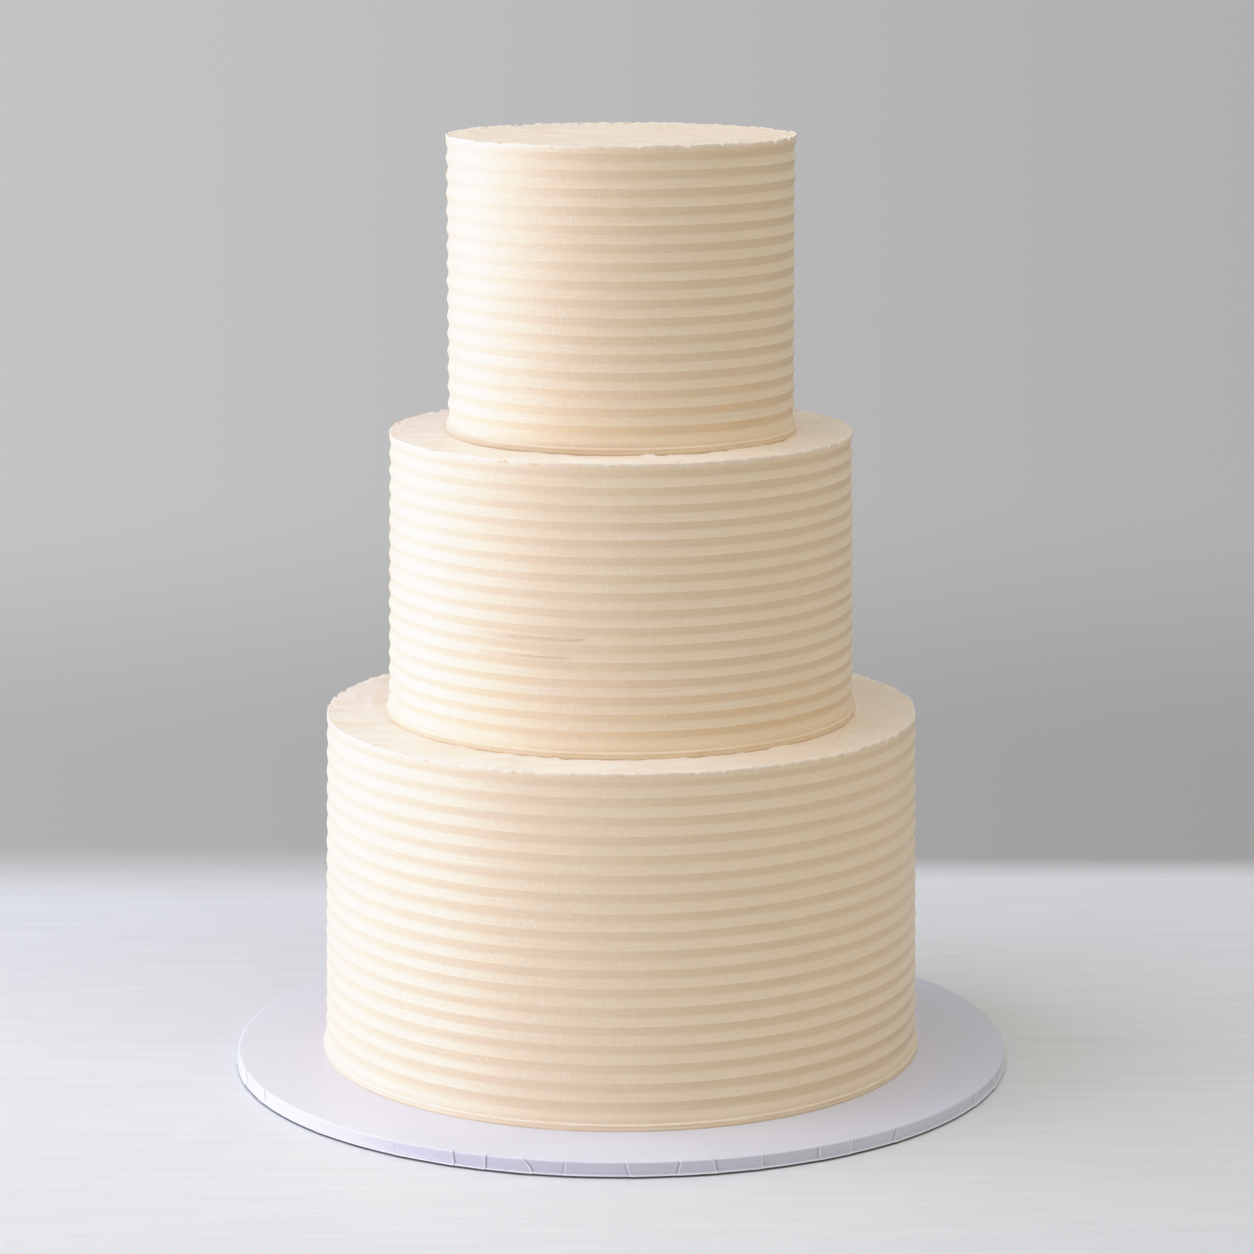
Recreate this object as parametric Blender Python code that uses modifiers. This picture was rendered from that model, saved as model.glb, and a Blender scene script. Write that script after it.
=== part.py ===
"""Three-tier buttercream cake on the round board that it is built on.

Each tier is a cylinder of cake under a coat of buttercream, combed into level
ridges. The board is a round card, covered with paper.
Metres, +Z up, with the origin on the table under the middle of the board.
"""

import math

import bpy

# The board, 14 inches across
BOARD_DIAMETER = 0.3556
BOARD_THICKNESS = 0.0073
BOARD_EDGE_ROUNDING = 0.0013
BOARD_EDGE_STEPS = 3
BOARD_SEGMENTS = 72

# The paper's folded edge stands out as a fine lip at the board's foot, cut back below
BOARD_LIP_PROUD = 0.0004
BOARD_LIP_TOP = 0.0013
BOARD_LIP_FOOT = 0.0006
BOARD_FOOT_INSET = 0.0012

# A piece stands this far clear of the one below it
RESTING_GAP = 0.0003

# The tiers, from the board up: name, height, radius at the rim and at the foot, ridges, segments
TIERS = (
    ("tier_bottom", 0.1570, 0.1345, 0.1368, 17, 48),
    ("tier_middle", 0.1280, 0.1045, 0.1060, 15, 42),
    ("tier_top", 0.1323, 0.0778, 0.0780, 15, 36),
)

# The scraped rim, from the top down to the first groove
RIM_BAND_HEIGHT = 0.0060
RIM_UPRIGHT_FOOT = 0.0027
RIM_CORNER = 0.0006

# The comb's ridges
RIDGE_DEPTH = 0.0010

# The plain band round the foot, from the last groove down to its lip
BASE_BAND_HEIGHT = 0.0083
BASE_BAND_PROUD = 0.0006
BASE_BAND_SHOULDER = 0.0046
BASE_BAND_FOOT = 0.0031
BASE_LIP_PROUD = 0.0017
BASE_LIP_TOP = 0.0022
BASE_LIP_FOOT = 0.0010
BASE_LIP_UNDERCUT = 0.0011

# Colour in linear light, and roughness
BUTTERCREAM = (0.85, 0.72, 0.54, 1.0)
BUTTERCREAM_ROUGHNESS = 0.55
PAPER = (0.74, 0.72, 0.77, 1.0)
PAPER_ROUGHNESS = 0.45

# Points this close are the same point, and edges that turn more than this stay crisp
MERGE_DISTANCE = 0.00001
CRISP_ANGLE = math.radians(40)


def clear_scene():
    for old in list(bpy.data.objects):
        bpy.data.objects.remove(old)


def make_material(name, colour, roughness):
    material = bpy.data.materials.new(name)
    material.use_nodes = True
    shader = material.node_tree.nodes["Principled BSDF"]
    shader.inputs["Base Color"].default_value = colour
    shader.inputs["Roughness"].default_value = roughness
    shader.inputs["Metallic"].default_value = 0.0
    return material


def turned_piece(name, profile, segments, base, material, collection):
    """A solid turned from (radius, height) points, top's middle to foot's middle, down the outer side."""
    outline = bpy.data.meshes.new(name + "_outline")
    points = [(radius, 0.0, height) for radius, height in profile]
    edges = [(i, i + 1) for i in range(len(points) - 1)]
    outline.from_pydata(points, edges, [])
    piece = bpy.data.objects.new(name, outline)
    collection.objects.link(piece)
    screw = piece.modifiers.new("Turn", "SCREW")
    screw.axis = "Z"
    screw.steps = segments
    screw.render_steps = segments
    screw.use_merge_vertices = True
    screw.merge_threshold = MERGE_DISTANCE
    turned = piece.evaluated_get(bpy.context.evaluated_depsgraph_get())
    piece.data = bpy.data.meshes.new_from_object(turned)
    piece.modifiers.clear()
    bpy.data.meshes.remove(outline)
    piece.data.name = name
    piece.data.materials.append(material)
    piece.data.shade_smooth()
    piece.data.set_sharp_from_angle(angle=CRISP_ANGLE)
    piece.location.z = base
    return piece


def board_profile():
    """A flat disc with a rounded upper edge and the lip round its foot."""
    radius = BOARD_DIAMETER / 2
    wall = radius - BOARD_LIP_PROUD
    points = [(0.0, BOARD_THICKNESS)]
    for step in range(BOARD_EDGE_STEPS + 1):
        angle = math.pi / 2 * step / BOARD_EDGE_STEPS
        points.append((
            wall - BOARD_EDGE_ROUNDING * (1 - math.sin(angle)),
            BOARD_THICKNESS - BOARD_EDGE_ROUNDING * (1 - math.cos(angle)),
        ))
    points += [
        (wall, BOARD_LIP_TOP + BOARD_LIP_PROUD),
        (radius, BOARD_LIP_TOP),
        (radius, BOARD_LIP_FOOT),
        (radius - BOARD_FOOT_INSET, 0.0),
        (0.0, 0.0),
    ]
    return points


def tier_profile(height, rim_radius, foot_radius, ridges):
    """A flat top with a crisp rim, level ridges down the side, and a plain band with a lip round the foot."""
    first_groove = height - RIM_BAND_HEIGHT
    pitch = (first_groove - BASE_BAND_HEIGHT) / ridges

    def crest_radius(level):
        return foot_radius + (rim_radius - foot_radius) * level / height

    points = [
        (0.0, height),
        (rim_radius - RIM_CORNER, height),
        (rim_radius, height - RIM_CORNER),
        (rim_radius, height - RIM_UPRIGHT_FOOT),
    ]
    for ridge in range(ridges):
        groove = first_groove - ridge * pitch
        crest = groove - pitch / 2
        points.append((crest_radius(groove) - RIDGE_DEPTH, groove))
        points.append((crest_radius(crest), crest))
    band = foot_radius + BASE_BAND_PROUD
    lip = foot_radius + BASE_LIP_PROUD
    points += [
        (foot_radius - RIDGE_DEPTH, BASE_BAND_HEIGHT),
        (band, BASE_BAND_SHOULDER),
        (band, BASE_BAND_FOOT),
        (lip, BASE_LIP_TOP),
        (lip, BASE_LIP_FOOT),
        (lip - BASE_LIP_UNDERCUT, 0.0),
        (0.0, 0.0),
    ]
    return points


def build_cake():
    collection = bpy.data.collections.new("buttercream_cake")
    bpy.context.scene.collection.children.link(collection)
    paper = make_material("board_paper", PAPER, PAPER_ROUGHNESS)
    turned_piece("cake_board", board_profile(), BOARD_SEGMENTS, 0.0, paper, collection)
    level = BOARD_THICKNESS
    for name, height, rim_radius, foot_radius, ridges, segments in TIERS:
        cream = make_material(name + "_buttercream", BUTTERCREAM, BUTTERCREAM_ROUGHNESS)
        profile = tier_profile(height, rim_radius, foot_radius, ridges)
        turned_piece(name, profile, segments, level + RESTING_GAP, cream, collection)
        level += RESTING_GAP + height


clear_scene()
build_cake()
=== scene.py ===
"""The looks of the three-tier buttercream cake on its paper-covered board.

Each tier of the frame is stood for by one dense closed mesh of combed icing, and
the board by one with the pleats of its folded paper. Crumbs of icing and two fine
lines that the comb dragged ride on the cake as well. Metres, +Z up, with the
origin on the table under the middle of the board. Angles in the tables of values
are in degrees from the front, and positive ones are on the right.
"""

import math

import bmesh
import bpy
import numpy as np
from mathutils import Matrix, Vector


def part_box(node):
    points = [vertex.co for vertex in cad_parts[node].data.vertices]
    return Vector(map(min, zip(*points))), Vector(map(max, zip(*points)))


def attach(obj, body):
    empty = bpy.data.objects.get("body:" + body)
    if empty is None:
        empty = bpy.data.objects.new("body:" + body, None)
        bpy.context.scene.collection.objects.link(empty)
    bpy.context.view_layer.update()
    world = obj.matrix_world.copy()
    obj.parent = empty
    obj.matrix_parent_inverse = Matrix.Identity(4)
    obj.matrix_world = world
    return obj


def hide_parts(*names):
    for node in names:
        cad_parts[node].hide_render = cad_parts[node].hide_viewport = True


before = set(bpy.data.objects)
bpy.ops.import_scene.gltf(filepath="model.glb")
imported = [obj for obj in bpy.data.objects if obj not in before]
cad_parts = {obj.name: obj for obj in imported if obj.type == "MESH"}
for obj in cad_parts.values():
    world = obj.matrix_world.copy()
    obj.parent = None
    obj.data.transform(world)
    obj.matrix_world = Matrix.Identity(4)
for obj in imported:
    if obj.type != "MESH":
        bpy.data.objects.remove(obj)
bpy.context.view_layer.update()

MM = 0.001
BODY = "root"

# The camera, fitted to the rims of the tiers and the board
PHOTO_SIDE = 1254
FOCAL_PIXELS = 3903.6
SENSOR_WIDTH = 36.0
CAMERA_DISTANCE = 1.7472
CAMERA_HEIGHT = 0.5442
CAMERA_PITCH = math.radians(11.074)
CAMERA_TURN = math.radians(0.0875)

# The tiers, from the board up: node, number of ridges, share of their depth, segments round the side,
# painted warm light at the foot
TIERS = (
    ("tier_bottom", 17, 0.72, 340, 0.0),
    ("tier_middle", 15, 1.0, 320, 0.3),
    ("tier_top", 15, 1.05, 280, 0.3),
)
FINE_RIM = 3  # the rim has this many times as many segments as the side

# The rim band, as in the solids, and the comb's ridges, a little shallower and rounder than there
RIM_BAND_HEIGHT = 6.0 * MM
RIM_UPRIGHT_FOOT = 2.7 * MM
RIDGE_DEPTH = 0.85 * MM
RIDGE_PHASES = (0.0, 0.07, 0.2, 0.36, 0.46, 0.49, 0.52, 0.62, 0.78, 0.92)
RIDGE_STRAIGHT = 0.6  # share of straight flanks in a ridge's section, and the rest is a cosine
CREST_BEAD = 0.08 * MM
CREST_BEAD_AT = 0.49
CREST_BEAD_WIDTH = 0.03

# The band and the lip round a tier's foot: how far out and how high
BASE_BAND_HEIGHT = 8.3 * MM
BASE_LIP_PROUD = 1.7 * MM
FOOT_PROFILE = (
    (-0.75 * MM, 7.6 * MM),
    (-0.30 * MM, 6.6 * MM),
    (0.10 * MM, 5.6 * MM),
    (0.40 * MM, 4.6 * MM),
    (0.45 * MM, 3.6 * MM),
    (0.42 * MM, 3.0 * MM),
    (0.60 * MM, 2.75 * MM),
    (0.95 * MM, 2.5 * MM),
    (1.05 * MM, 2.2 * MM),
    (1.02 * MM, 1.8 * MM),
    (0.98 * MM, 1.4 * MM),
    (1.02 * MM, 1.0 * MM),
    (1.05 * MM, 0.6 * MM),
    (1.05 * MM, 0.3 * MM),
    (1.00 * MM, 0.0),
)
FOOT_SINK = 0.35 * MM  # the icing runs down past the resting gap
FOOT_SINK_PROUD = (0.9 * MM, -5.0 * MM)

# How far rings lie in from the rim on the top face, and down from it on the side, in millimetres
RIM_INSETS = (6.0, 4.6, 3.5, 2.6, 1.9, 1.35, 0.9, 0.55, 0.28, 0.1)
RIM_DROPS = (0.1, 0.28, 0.5, 0.8, 1.2, 1.7, 2.2, 2.7, 3.3, 4.0, 4.8, 5.5)
TOP_RING_STEP = 1.2 * MM
TOP_FACE_WITHIN = 0.05 * MM  # a point this close below the top lies on the top face
HIDDEN_MARGIN = 4.0 * MM  # the top face reaches this far in under the tier above

# The hand's unevenness: size of the noise cells, and how far it moves the surface, or what share of the depth
WALL_WAVE = (75 * MM, 0.22 * MM)
LEVEL_WAVE = ((85 * MM, 85 * MM, 85 / 3 * MM), 0.30 * MM)
DEPTH_WAVE = ((38 * MM, 38 * MM, 9.5 * MM), 0.16)
DRAG_STREAKS = ((45 * MM, 45 * MM, 0.9 * MM), 0.045 * MM)
WALL_FADE = (0.8, 0.97)  # shares of the radius between which the wall's wave fades in

# The ragged lip that the scraper leaves along a rim. How high it stands and how far it leans out are each a
# mean and shares of the long and the short waves. It fades inwards on the top face and down the side, and
# chips break it
LIP_LONG_CELL = 11 * MM
LIP_SHORT_CELL = 2.0 * MM
LIP_HEIGHTS = (0.42 * MM, 0.36 * MM, 0.42 * MM)
LIP_HEIGHT_FADES = (1.0 * MM, 0.7 * MM)
LIP_LEANS = (0.10 * MM, 0.14 * MM, 0.22 * MM)
LIP_LEAN_FADES = (0.5 * MM, 0.8 * MM)
CHIP_CELL = 3.6 * MM
CHIP_RANGE = (0.42, 0.62)
CHIP_DEPTH = 0.35 * MM
CHIP_INSET = 0.45 * MM

# Thin flakes on the top face close to its rim
FLAKE_CELL = (3.4 * MM, 3.4 * MM, 1.0)
FLAKE_RANGE = (0.25, 0.50)
FLAKE_HEIGHT = 0.22 * MM
FLAKES_FADE_IN = (0.2 * MM, 0.8 * MM)
FLAKES_FADE_OUT = (3.0 * MM, 6.5 * MM)

# The palette knife's curved strokes on a top face
STROKE_TWIST = 14.0  # radians a metre
STROKE_CELL = (26 * MM, 4.0 * MM, 1.0)
STROKE_HEIGHT = 0.30 * MM
STROKE_EDGE_CELL = (18 * MM, 5.0 * MM, 1.0)
STROKE_EDGE_RANGE = (0.28, 0.36)
STROKE_EDGE_HEIGHT = 0.45 * MM
SWELL_CELL = 30 * MM
SWELL_HEIGHT = 0.25 * MM
STROKES_FADE_IN = (1.5 * MM, 6.0 * MM)

# The waves of the lip round a foot: their cell, reach, middle height and half height
FOOT_WAVE = (5 * MM, 0.25 * MM)
FOOT_WAVE_AT = 0.9 * MM
FOOT_WAVE_WITHIN = 1.5 * MM

# Shares of other tones on the icing: a painted highlight along the rim, painted shadow in notches under it,
# and the foot's seam, a darker tone with painted shade
RIM_HIGHLIGHT_FADES = (0.9 * MM, 1.6 * MM)
RIM_HIGHLIGHT_CELL = 3 * MM
RIM_HIGHLIGHT_PATCHES = 0.3
NOTCH_CELL = (3.5 * MM, 3.5 * MM, 1.0)
NOTCH_RANGE = (0.30, 0.50)
NOTCH_AT = 0.8 * MM
NOTCH_WITHIN = 0.45 * MM
NOTCH_SHADE = 0.7
SEAM_SHADE = 0.5
SEAM_TOP = 0.5 * MM
WARM_LIGHT_FADE = (2 * MM, 11 * MM)

# The board and its profile: rings on the flat top as shares of its radius, then by how far in from the wall
# they are, rings down the side by height, both in millimetres, and the foot as distance in from the lip and
# height
BOARD_EDGE_ROUNDING = 0.8 * MM
BOARD_EDGE_STEPS = 6
BOARD_LIP_PROUD = 0.4 * MM
BOARD_LIP_TOP = 1.5 * MM
# Below the lip the bare dark card, darkened further as painted shade in the gap
BOARD_CORE_TOP = 0.95 * MM  # the bare card shows below this height
BOARD_FLAT_INSET = 14 * MM
BOARD_FLAT_SHARES = (0.05, 0.4, 0.6, 0.7, 0.8, 0.9, 1.0)
BOARD_TOP_INSETS = (11, 8, 6, 4.5, 3.2, 2.3)
BOARD_SIDE_HEIGHTS = (5.8, 5.0, 4.2, 3.4, 2.6, 2.0)
BOARD_SIDE_TOP = 6.3
BOARD_SIDE_SLOPE = 0.20
BOARD_FOOT_PROFILE = (
    (0.8 * MM, 1.79 * MM),
    (0.25 * MM, 1.6 * MM),
    (0.0, 1.45 * MM),
    (0.0, 1.15 * MM),
    (0.15 * MM, 0.98 * MM),
    (0.5 * MM, 0.9 * MM),
    (3.0 * MM, 0.85 * MM),
    (3.2 * MM, 0.0),
    (BOARD_FLAT_INSET, 0.0),
)
BOARD_SEED = 61

# The pleats of its paper: where they are seen at the front, and the range and the steps of the others
FRONT_CREASES = (
    -48.8, -33.2, -23.7, -18.9, -12.9, -7.8, 1.0, 7.8, 13.1, 19.8, 28.6, 33.9, 41.8, 62.4, 70.9,
)
BACK_CREASES = (85, 300)
BACK_CREASE_STEPS = (5.5, 11.0)
CREASE_OFFSETS = (-2.0, -1.2, -0.7, -0.4, -0.2, -0.08, 0.08, 0.2, 0.4, 0.7, 1.2, 2.0)  # of its points, in mm

# A pleat leans and bows by random amounts. Its flap steps out and dies away, with a sunk fold before its edge
# carrying a painted shadow, and a painted highlight line behind
CREASE_SLANT = 0.8 * MM
CREASE_BOW = 0.5 * MM
CREASE_WITHIN = 3 * MM
CREASE_STRENGTHS = (0.6, 1.0)
FLAP_STEPS = (0.35 * MM, 0.6 * MM)
FLAP_REACHES = (4.0 * MM, 9.0 * MM)
FLAP_EDGE = 0.15 * MM
FLAP_FADE = (4.5 * MM, 1.0 * MM)  # in from the wall, on the top face
FLAP_ON_TOP = 0.5
FOLD_WIDTH = 0.25 * MM
FOLD_DEPTH = 0.25 * MM
BRIGHT_WIDTH = 0.35 * MM

# Beads on each rim and slivers on each side, all the way round a tier, and the further ones at the front
RIM_BEADS = 90
BEAD_SIZES = (0.25, 0.5)
BEAD_STRETCH = (0.7, 1.4)
BEAD_INSET = 1.3 * MM
BEAD_LIFT = 0.2 * MM
SIDE_SLIVERS = 260
FRONT_SLIVERS = 240
FRONT_MIDDLE = math.radians(-6)
FRONT_SPREAD = math.radians(20)
SLIVER_SIZES = ((0.18, 0.06, 0.35), (0.32, 0.13, 0.95))  # smallest and largest, in millimetres
SLIVER_LEANS = (0.1, 0.7)
# Strength of the painted highlight on each crumb
CRUMB_HIGHLIGHT = (0.1, 0.6)
CRUMB_SEED = 97

# Fine level lines that a crumb under the comb drew on the middle tier: height, from and to which angle
DRAG_LINES = ((217.2 * MM, -37.7, -8.5), (208.9 * MM, -35.6, -12.0))
DRAG_LINE_STEP = 0.2
DRAG_TURNS = (1.6, 0.2, -1.0, -1.6, 3.1)  # corners of a burr's section, in radians above straight out
# The corners turned up carry a painted highlight towards one end, the others a painted shadow towards the
# other
DRAG_UPPER = 0.5  # corners turned up more than this are pale at one end, the others dark at the other
DRAG_HIGHLIGHT = 0.8
DRAG_SHADOW = 1.3
DRAG_SHADOW_FADE = (0.25, 0.40)
DRAG_SIZES = (0.20 * MM, 0.12 * MM, 0.09 * MM)  # at the ends, more in the middle, and at random
DRAG_STRETCH = 1.5
DRAG_SUNK = 0.10 * MM
DRAG_CELL = 1.6 * MM
DRAG_SEED = 40

# Colours, in linear light
BUTTERCREAM = (0.872, 0.705, 0.488)
# Painted shade under each ridge, deeper towards the right
BUTTERCREAM_UNDER_SHADE = (0.872, 0.690, 0.470)
BUTTERCREAM_SHADED = (0.80, 0.608, 0.384)
# Painted sheen on the faces that look up, in two tones at random
BUTTERCREAM_TOP_SHEEN = (0.96, 0.885, 0.75)
BUTTERCREAM_TOP_SHEEN_DEEP = (0.92, 0.81, 0.65)
# Painted highlight on the rim, the crumbs, the drag lines' tops, the scraper's marks and the streaks
BUTTERCREAM_HIGHLIGHT = (0.97, 0.88, 0.75)
# The seam's darker tone together with painted contact shade; also the painted shadow in notches and under the
# drag lines
BUTTERCREAM_SEAM_AND_SHADE = (0.76, 0.56, 0.34)
# Painted warm light at the foot
BUTTERCREAM_FOOT_WARM_LIGHT = (0.92, 0.70, 0.43)
PAPER = (0.732, 0.752, 0.80)
# Painted light on the paper at the left and painted shade at the right
PAPER_LIT_LEFT = (0.77, 0.785, 0.80)
PAPER_SHADED_RIGHT = (0.68, 0.695, 0.77)
# Painted shade on the board's side, lighter towards the left
PAPER_SIDE_SHADE = (0.655, 0.64, 0.71)
PAPER_SIDE_LIT_LEFT = (0.82, 0.80, 0.83)
# Painted highlight on the pleats and the lip, and painted shadow in the folds
PAPER_HIGHLIGHT = (0.87, 0.88, 0.92)
PAPER_SHADOW = (0.40, 0.38, 0.44)
# The bare card's tone together with painted shade in the gap under the lip
BOARD_CORE_AND_SHADE = (0.10, 0.085, 0.08)
TABLE = (0.775, 0.79, 0.765)

# The icing's fields: size of their cells along X, Y and Z
STREAK_CELL = (40 * MM, 40 * MM, 0.6 * MM)
BROAD_STREAK_CELL = (60 * MM, 60 * MM, 2.2 * MM)
GRAIN_CELL = (0.5 * MM, 0.5 * MM, 0.5 * MM)
MARK_CELL = (0.8 * MM, 0.8 * MM, 3.2 * MM)
MARK_PATCH_CELL = (30 * MM, 30 * MM, 30 * MM)
TOP_PATCH_CELL = (26 * MM, 9 * MM, 9 * MM)
SEAM_BREAK_CELL = (5 * MM, 5 * MM, 5 * MM)
MARK_LEAN = 4.5  # how far the scraper's marks lean, as a twist about the axis, in radians a metre
SPECKS = (5.0 * MM, 0.70 * MM)  # how far apart and how large
PINHOLES = (4.2 * MM, 0.50 * MM)

# What the icing makes of a field: its values from and to, and the shares there unless they are 0 and 1
SHADE_UNDER_RIDGE = (-0.18, 0.12, 1.0, 0.0)
LEFT_TO_RIGHT = (-120 * MM, 120 * MM)
MARK_RANGE = (0.56, 0.68)
MARK_PATCHES = (0.3, 0.7, 0.35, 1.0)
MARKS_LIT_FACING_UP = (-0.15, 0.12, 0.16, 0.40)
MARKS_FEWER_RIGHT = (0.45, 1.0, 1.0, 0.15)
STREAK_LINES = (0.58, 0.72)
TOP_PATCHES = (0.40, 0.62)
SHEEN_FACING_UP = (0.4, 0.9)
TOP_SHEEN_LOW = (320 * MM, 400 * MM, 1.0, 0.35)
TOP_SHEEN_LEFT = (0.5, 1.0, 1.0, 0.55)
SEAM_BREAKS = (0.35, 0.6, 0.35, 1.0)
ICING_ROUGHNESS = (0.3, 0.7, 0.34, 0.46)

# The same for the paper, and where along X its painted light and painted shade change
PAPER_CLOUD_CELL = (45 * MM, 45 * MM, 20 * MM)
PAPER_CLOUDS = (0.3, 0.7)
PAPER_CLOUD_TONES = (0.97, 1.02)
FIBRE_CELL = (0.5 * MM, 1.6 * MM, 0.5 * MM)
FIBRE_HEIGHT = 0.012 * MM
PAPER_ROUGHNESS = (0.3, 0.7, 0.36, 0.48)
BOARD_FAR_LEFT = (-170 * MM, -90 * MM, 1.0, 0.0)
BOARD_FAR_RIGHT = (50 * MM, 125 * MM)
BOARD_SIDE_FAR_LEFT = (-160 * MM, -60 * MM, 1.0, 0.0)

# The table: its grain, where its far edge starts and ends to fade at the left and at the right, and its reach
TABLE_GRAIN_CELL = (90 * MM, 6 * MM, 1.0)
TABLE_GRAIN = (0.38, 0.64)
TABLE_GRAIN_TONE = 0.955
TABLE_ROUGHNESS = 0.6
TABLE_EDGE_ACROSS = (-0.25, 0.25)
TABLE_EDGE_FROM = (0.265, 0.315)
TABLE_EDGE_TO = (0.395, 0.365)
TABLE_REACH = 3.0

# The backdrop's grey at the left and at the right, and its share left near the table
BACKDROP_FROM_TO = (-0.20, 0.20)
BACKDROP_ACROSS = (0.55, 0.43)
BACKDROP_FADE_FROM_TO = (-0.225, -0.155)
BACKDROP_LOW = 0.80
BACKDROP_TINT = (1.004, 1.0, 1.008, 1.0)
AMBIENT_GREY = 0.04

# Soft lights that face this height on the axis: name, direction, elevation, distance, width, height, strength
# and colour
CAKE_MIDDLE = 0.2
WINDOW_LIGHT = (1.0, 1.08, 1.50)
DAYLIGHT = (1.0, 1.0, 1.19)
SKYLIGHT = (1.0, 0.99, 1.02)
LAMPLIGHT = (1.04, 1.0, 0.92)
WHITE_LIGHT = (1.0, 1.0, 1.0)
LIGHTS = (
    ("window", -110, 1, 2.2, 1.4, 1.4, 24, WINDOW_LIGHT),
    ("window_front", -65, -2, 2.2, 1.4, 1.4, 11, DAYLIGHT),
    ("window_low", -70, -5, 1.6, 1.0, 0.4, 15.5, DAYLIGHT),
    ("high_left", -90, 60, 2.0, 1.2, 1.2, 9.5, DAYLIGHT),
    ("high_front_left", -50, 64, 2.0, 1.2, 1.2, 10.5, DAYLIGHT),
    ("high_right", 80, 70, 4.0, 2.4, 2.4, 43, SKYLIGHT),
    ("high_front_right", 40, 50, 4.0, 2.4, 2.4, 24, LAMPLIGHT),
    ("low_front_right", 45, 2, 1.8, 0.9, 0.6, 4.2, LAMPLIGHT),
    ("back_left", -140, 45, 2.0, 1.2, 1.2, 3, WHITE_LIGHT),
    ("back_right", 140, 45, 2.0, 1.2, 1.2, 2, WHITE_LIGHT),
)

# Display brightness is true up to the shoulder, and above it eases towards white
SHOULDER = 0.80
SHOULDER_WHITE = 2.2
SHOULDER_POINTS = 12

LATTICE = 64


def lattice_noise(points, cell, seed):
    """A smooth random field from -1 to 1 over cells of this size in metres, alike or one for each axis."""
    table = np.random.default_rng(seed).uniform(-1, 1, (LATTICE,) * 3)
    place = points / np.broadcast_to(cell, 3) + LATTICE / 2
    whole = np.floor(place).astype(int)
    share = place - whole
    share = share * share * (3 - 2 * share)
    field = np.zeros(len(points))
    for corner in np.ndindex(2, 2, 2):
        weight = np.prod(np.where(corner, share, 1 - share), axis=1)
        x, y, z = ((whole + corner) % LATTICE).T
        field += weight * table[x, y, z]
    return field


def wave(points, kind, seed):
    """Noise with the cell and the reach of this kind."""
    cell, reach = kind
    return reach * lattice_noise(points, cell, seed)


def smooth_step(value, low, high):
    """0 up to low, 1 from high on, and a smooth rise between."""
    share = np.clip((value - low) / (high - low), 0, 1)
    return share * share * (3 - 2 * share)


def bell(value, width):
    """1 at nought, dying away on both sides over this width."""
    return np.exp(-((value / width) ** 2))


def on_circle(angle, radius, height):
    """Points at these angles from the front, in radians."""
    return np.stack([radius * np.sin(angle), -radius * np.cos(angle), height], axis=1)


def ring_faces(first, count, next_first, next_count):
    """Faces between two rings, where one may have several times the segments of the other."""
    near = np.arange(min(count, next_count))
    ratio = max(count, next_count) // min(count, next_count)
    after = (near + 1) % len(near)
    if count <= next_count:
        fine = [next_first + (near * ratio + step) % next_count for step in range(ratio + 1)]
        return np.stack([first + after, first + near, *fine], axis=1)
    fine = [first + (near * ratio + step) % count for step in range(ratio, -1, -1)]
    return np.stack([*fine, next_first + near, next_first + after], axis=1)


def closed_mesh(name, rings, material, **attributes):
    """A closed piece from rings of points, from the top's middle over the side to the foot's middle."""
    counts = [len(ring) for ring in rings]
    firsts = np.concatenate([[0], np.cumsum(counts)])
    top = firsts[-1]
    middles = [rings[0].mean(axis=0), rings[-1].mean(axis=0)]
    points = np.concatenate([*rings, middles])
    around = np.arange(counts[0])
    faces = [np.stack([np.full(counts[0], top), around, (around + 1) % counts[0]], axis=1)]
    for step in range(len(rings) - 1):
        faces.append(ring_faces(firsts[step], counts[step], firsts[step + 1], counts[step + 1]))
    around = np.arange(counts[-1])
    last = firsts[-2]
    middle = np.full(counts[-1], top + 1)
    faces.append(np.stack([middle, last + (around + 1) % counts[-1], last + around], axis=1))
    piece = mesh_piece(name, points, faces, material)
    for attribute, values in attributes.items():
        add_attribute(piece, attribute, np.concatenate([values, [0.0, 0.0]]))
    return piece


def add_attribute(piece, name, values):
    """A number for each point, which the material reads by this name."""
    layer = piece.data.attributes.new(name, "FLOAT", "POINT")
    layer.data.foreach_set("value", values.astype(np.float32))


def mesh_piece(name, points, face_groups, material):
    """A smooth piece from points and arrays of faces, each array with one number of corners a face."""
    corners = np.concatenate([group.ravel() for group in face_groups])
    sizes = np.concatenate([np.full(len(group), group.shape[1]) for group in face_groups])
    starts = np.concatenate([[0], np.cumsum(sizes)[:-1]])
    mesh = bpy.data.meshes.new(name)
    mesh.vertices.add(len(points))
    mesh.vertices.foreach_set("co", points.astype(np.float32).ravel())
    mesh.loops.add(len(corners))
    mesh.loops.foreach_set("vertex_index", corners.astype(np.int32))
    mesh.polygons.add(len(sizes))
    mesh.polygons.foreach_set("loop_start", starts.astype(np.int32))
    mesh.update(calc_edges=True)
    mesh.validate()
    mesh.shade_smooth()
    mesh.materials.append(material)
    piece = bpy.data.objects.new(name, mesh)
    bpy.context.scene.collection.objects.link(piece)
    return piece


def hand_over(piece, slot, *nodes):
    """The piece rides on the cake and stands for these nodes."""
    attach(piece, BODY)
    if nodes:
        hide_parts(*nodes)


def add_node(tree, kind, inputs=None, **settings):
    """A shader node with its settings, and with values or links on its inputs."""
    made = tree.nodes.new(kind)
    for setting, value in settings.items():
        setattr(made, setting, value)
    for socket, value in (inputs or {}).items():
        if isinstance(value, bpy.types.NodeSocket):
            tree.links.new(value, made.inputs[socket])
        else:
            made.inputs[socket].default_value = value
    return made


def own_place(tree):
    """A point's place in its piece."""
    return add_node(tree, "ShaderNodeTexCoord").outputs["Object"]


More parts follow.
